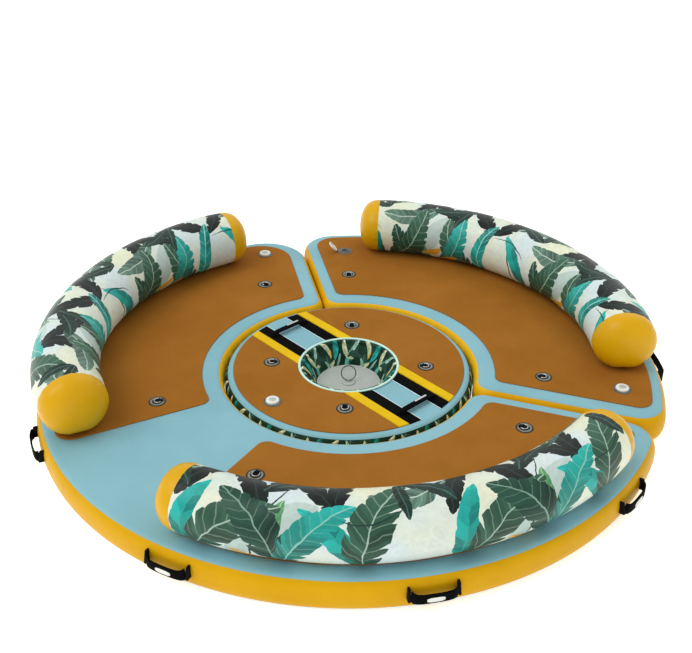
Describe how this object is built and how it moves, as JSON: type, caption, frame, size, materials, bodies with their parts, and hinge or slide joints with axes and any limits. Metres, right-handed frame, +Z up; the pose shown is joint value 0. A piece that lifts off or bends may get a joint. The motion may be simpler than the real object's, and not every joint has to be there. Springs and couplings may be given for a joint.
{
  "type": "inflatable floating dock",
  "caption": "Round inflatable floating lounge dock: open ring with curved backrests and foam pads, a side module and a centre module with a sunken bowl.",
  "frame": {"origin": "middle of the underside of the whole dock's bounding box", "axes": "+Z up; -Y towards the open entry of the ring, +Y towards the side module, X along the channel across the centre module"},
  "size_m": [3.0437, 3.0776, 0.4456],
  "materials": {
    "deck_pvc": "satin light blue PVC-coated deck skin",
    "wall_pvc": "satin golden yellow PVC-coated fabric",
    "print_pvc": null,
    "foam": "matt brown closed-cell foam pad",
    "steel": "bright stainless steel",
    "black_webbing": "matt black woven webbing",
    "bar_foam": "matt yellow foam",
    "valve_plastic": "matt dark grey nylon",
    "cap_plastic": "satin white plastic",
    "bowl_pvc": "satin PVC-coated fabric with a pale mint rim",
    "floor_pvc": "satin light grey PVC"
  },
  "bodies": {
    "main_module": {"backrest_cap_left_end": "wall_pvc", "backrest_cap_left_start": "wall_pvc", "backrest_cap_right_end": "wall_pvc", "backrest_cap_right_start": "wall_pvc", "backrest_left": "print_pvc", "backrest_right": "print_pvc", "deck_pad_left": "foam", "deck_pad_right": "foam", "main_platform": "deck_pvc", "main_wall": "wall_pvc", "valve_body_left": "valve_plastic"},
    "side_module": {"backrest_back": "print_pvc", "backrest_cap_back_end": "wall_pvc", "backrest_cap_back_start": "wall_pvc", "deck_pad_back": "foam", "side_platform": "deck_pvc", "side_wall": "wall_pvc", "valve_body_back_a": "valve_plastic", "valve_body_back_b": "valve_plastic"},
    "center_module": {"bowl_floor": "floor_pvc", "bowl_liner": "bowl_pvc", "center_pad_back": "foam", "center_pad_front": "foam", "center_platform": "deck_pvc", "center_wall": "print_pvc", "channel_bar_back_left": "bar_foam", "channel_bar_back_right": "bar_foam", "channel_bar_front_left": "bar_foam", "channel_bar_front_right": "bar_foam", "grab_harness_left": "black_webbing", "grab_harness_right": "black_webbing", "valve_body_center": "valve_plastic"},
    "drain_plug": {"drain_plug": "floor_pvc"},
    "handle_main_1": {"handle_main_1": "black_webbing"},
    "handle_main_2": {"handle_main_2": "black_webbing"},
    "handle_main_3": {"handle_main_3": "black_webbing"},
    "handle_main_4": {"handle_main_4": "black_webbing"},
    "handle_main_5": {"handle_main_5": "black_webbing"},
    "handle_main_6": {"handle_main_6": "black_webbing"},
    "handle_side_1": {"handle_side_1": "black_webbing"},
    "handle_side_2": {"handle_side_2": "black_webbing"},
    "handle_side_3": {"handle_side_3": "black_webbing"},
    "tow_ring_back_1": {"tow_ring_back_1": "steel"},
    "tow_ring_back_2": {"tow_ring_back_2": "steel"},
    "tow_ring_center_back_1": {"tow_ring_center_back_1": "steel"},
    "tow_ring_center_back_2": {"tow_ring_center_back_2": "steel"},
    "tow_ring_center_front_1": {"tow_ring_center_front_1": "steel"},
    "tow_ring_center_front_2": {"tow_ring_center_front_2": "steel"},
    "tow_ring_left_1": {"tow_ring_left_1": "steel"},
    "tow_ring_left_2": {"tow_ring_left_2": "steel"},
    "tow_ring_right_1": {"tow_ring_right_1": "steel"},
    "tow_ring_right_2": {"tow_ring_right_2": "steel"},
    "valve_cap_back_a": {"valve_cap_back_a": "cap_plastic"},
    "valve_cap_back_b": {"valve_cap_back_b": "cap_plastic"},
    "valve_cap_center": {"valve_cap_center": "cap_plastic"},
    "valve_cap_left": {"valve_cap_left": "cap_plastic"},
    "valve_stem_back_a": {"valve_stem_back_a": "cap_plastic"},
    "valve_stem_back_b": {"valve_stem_back_b": "cap_plastic"},
    "valve_stem_center": {"valve_stem_center": "cap_plastic"},
    "valve_stem_left": {"valve_stem_left": "cap_plastic"}
  },
  "joints": [
    {"name": "side_module_draw_off", "type": "slide", "parent": "main_module", "child": "side_module", "axis": [0, 1, 0], "range_m": [0, 0.4]},
    {"name": "center_module_lift_out", "type": "slide", "parent": "main_module", "child": "center_module", "axis": [0, 0, 1], "range_m": [0, 0.3]},
    {"name": "drain_plug_pull", "type": "slide", "parent": "center_module", "child": "drain_plug", "axis": [0, 0, 1], "range_m": [0, 0.03]},
    {"name": "handle_main_1_swing", "type": "hinge", "parent": "main_module", "child": "handle_main_1", "pos_m": [1.32724, -0.76191, 0.085], "axis": [-0.4787, -0.878, 0], "range_deg": [-35, 35], "stiffness_Nm_per_rad": 0.03},
    {"name": "handle_main_2_swing", "type": "hinge", "parent": "main_module", "child": "handle_main_2", "pos_m": [1.48129, 0.25667, 0.085], "axis": [0.1977, -0.9803, 0], "range_deg": [-35, 35], "stiffness_Nm_per_rad": 0.03},
    {"name": "handle_main_3_swing", "type": "hinge", "parent": "main_module", "child": "handle_main_3", "pos_m": [-1.48407, 0.1842, 0.085], "axis": [0.1495, 0.9888, 0], "range_deg": [-35, 35], "stiffness_Nm_per_rad": 0.03},
    {"name": "handle_main_4_swing", "type": "hinge", "parent": "main_module", "child": "handle_main_4", "pos_m": [-1.28045, -0.82564, 0.085], "axis": [-0.521, 0.8536, 0], "range_deg": [-35, 35], "stiffness_Nm_per_rad": 0.03},
    {"name": "handle_main_5_swing", "type": "hinge", "parent": "main_module", "child": "handle_main_5", "pos_m": [-0.47535, -1.46834, 0.085], "axis": [-0.9478, 0.319, 0], "range_deg": [-35, 35], "stiffness_Nm_per_rad": 0.03},
    {"name": "handle_main_6_swing", "type": "hinge", "parent": "main_module", "child": "handle_main_6", "pos_m": [0.5545, -1.44317, 0.085], "axis": [-0.9311, -0.3649, 0], "range_deg": [-35, 35], "stiffness_Nm_per_rad": 0.03},
    {"name": "handle_side_1_swing", "type": "hinge", "parent": "side_module", "child": "handle_side_1", "pos_m": [0.94065, 1.18404, 0.085], "axis": [0.7815, -0.6239, 0], "range_deg": [-35, 35], "stiffness_Nm_per_rad": 0.03},
    {"name": "handle_side_2_swing", "type": "hinge", "parent": "side_module", "child": "handle_side_2", "pos_m": [-0.01917, 1.50706, 0.085], "axis": [0.9997, 0.0244, 0], "range_deg": [-35, 35], "stiffness_Nm_per_rad": 0.03},
    {"name": "handle_side_3_swing", "type": "hinge", "parent": "side_module", "child": "handle_side_3", "pos_m": [-0.96207, 1.13754, 0.085], "axis": [0.7501, 0.6613, 0], "range_deg": [-35, 35], "stiffness_Nm_per_rad": 0.03},
    {"name": "tow_ring_back_1_flip", "type": "hinge", "parent": "side_module", "child": "tow_ring_back_1", "pos_m": [0.69767, 0.5915, 0.1607], "axis": [0.6743, -0.7385, 0], "range_deg": [0, 175]},
    {"name": "tow_ring_back_2_flip", "type": "hinge", "parent": "side_module", "child": "tow_ring_back_2", "pos_m": [-0.70292, 0.57438, 0.1607], "axis": [0.6561, 0.7547, 0], "range_deg": [0, 175]},
    {"name": "tow_ring_center_back_1_flip", "type": "hinge", "parent": "center_module", "child": "tow_ring_center_back_1", "pos_m": [0.25831, 0.22594, 0.1607], "axis": [0.7254, -0.6884, 0], "range_deg": [0, 175]},
    {"name": "tow_ring_center_back_2_flip", "type": "hinge", "parent": "center_module", "child": "tow_ring_center_back_2", "pos_m": [-0.26194, 0.21231, 0.1607], "axis": [0.6884, 0.7254, 0], "range_deg": [0, 175]},
    {"name": "tow_ring_center_front_1_flip", "type": "hinge", "parent": "center_module", "child": "tow_ring_center_front_1", "pos_m": [-0.24831, -0.30794, 0.1607], "axis": [-0.7254, 0.6884, 0], "range_deg": [0, 175]},
    {"name": "tow_ring_center_front_2_flip", "type": "hinge", "parent": "center_module", "child": "tow_ring_center_front_2", "pos_m": [0.27194, -0.29431, 0.1607], "axis": [-0.6884, -0.7254, 0], "range_deg": [0, 175]},
    {"name": "tow_ring_left_1_flip", "type": "hinge", "parent": "main_module", "child": "tow_ring_left_1", "pos_m": [-0.91482, 0.1428, 0.1607], "axis": [0.1959, 0.9806, 0], "range_deg": [0, 175]},
    {"name": "tow_ring_left_2_flip", "type": "hinge", "parent": "main_module", "child": "tow_ring_left_2", "pos_m": [-0.32809, -0.91787, 0.1607], "axis": [-0.9348, 0.3551, 0], "range_deg": [0, 175]},
    {"name": "tow_ring_right_1_flip", "type": "hinge", "parent": "main_module", "child": "tow_ring_right_1", "pos_m": [0.39696, -0.89318, 0.1607], "axis": [-0.9085, -0.4179, 0], "range_deg": [0, 175]},
    {"name": "tow_ring_right_2_flip", "type": "hinge", "parent": "main_module", "child": "tow_ring_right_2", "pos_m": [0.90889, 0.20967, 0.1607], "axis": [0.2672, -0.9636, 0], "range_deg": [0, 175]},
    {"name": "valve_cap_back_a_hinge", "type": "hinge", "parent": "side_module", "child": "valve_cap_back_a", "pos_m": [1.0034, 0.76367, 0.1601], "axis": [0.9397, -0.342, 0], "range_deg": [0, 150]},
    {"name": "valve_cap_back_b_hinge", "type": "hinge", "parent": "side_module", "child": "valve_cap_back_b", "pos_m": [-0.97239, 0.72233, 0.1601], "axis": [0.8192, -0.5736, 0], "range_deg": [-130, 20]},
    {"name": "valve_cap_center_hinge", "type": "hinge", "parent": "center_module", "child": "valve_cap_center", "pos_m": [-0.02105, -0.53604, 0.1601], "axis": [0.3665, -0.9304, 0], "range_deg": [0, 150]},
    {"name": "valve_cap_left_hinge", "type": "hinge", "parent": "main_module", "child": "valve_cap_left", "pos_m": [-1.26587, 0.35698, 0.1601], "axis": [0.342, -0.9397, 0], "range_deg": [0, 150]},
    {"name": "valve_stem_back_a_press", "type": "slide", "parent": "side_module", "child": "valve_stem_back_a", "axis": [0, 0, -1], "range_m": [0, 0.005], "stiffness_N_per_m": 10, "springref_m": -0.0015},
    {"name": "valve_stem_back_b_press", "type": "slide", "parent": "side_module", "child": "valve_stem_back_b", "axis": [0, 0, -1], "range_m": [0, 0.005], "stiffness_N_per_m": 10, "springref_m": -0.0015},
    {"name": "valve_stem_center_press", "type": "slide", "parent": "center_module", "child": "valve_stem_center", "axis": [0, 0, -1], "range_m": [0, 0.005], "stiffness_N_per_m": 10, "springref_m": -0.0015},
    {"name": "valve_stem_left_press", "type": "slide", "parent": "main_module", "child": "valve_stem_left", "axis": [0, 0, -1], "range_m": [0, 0.005], "stiffness_N_per_m": 10, "springref_m": -0.0015}
  ]
}
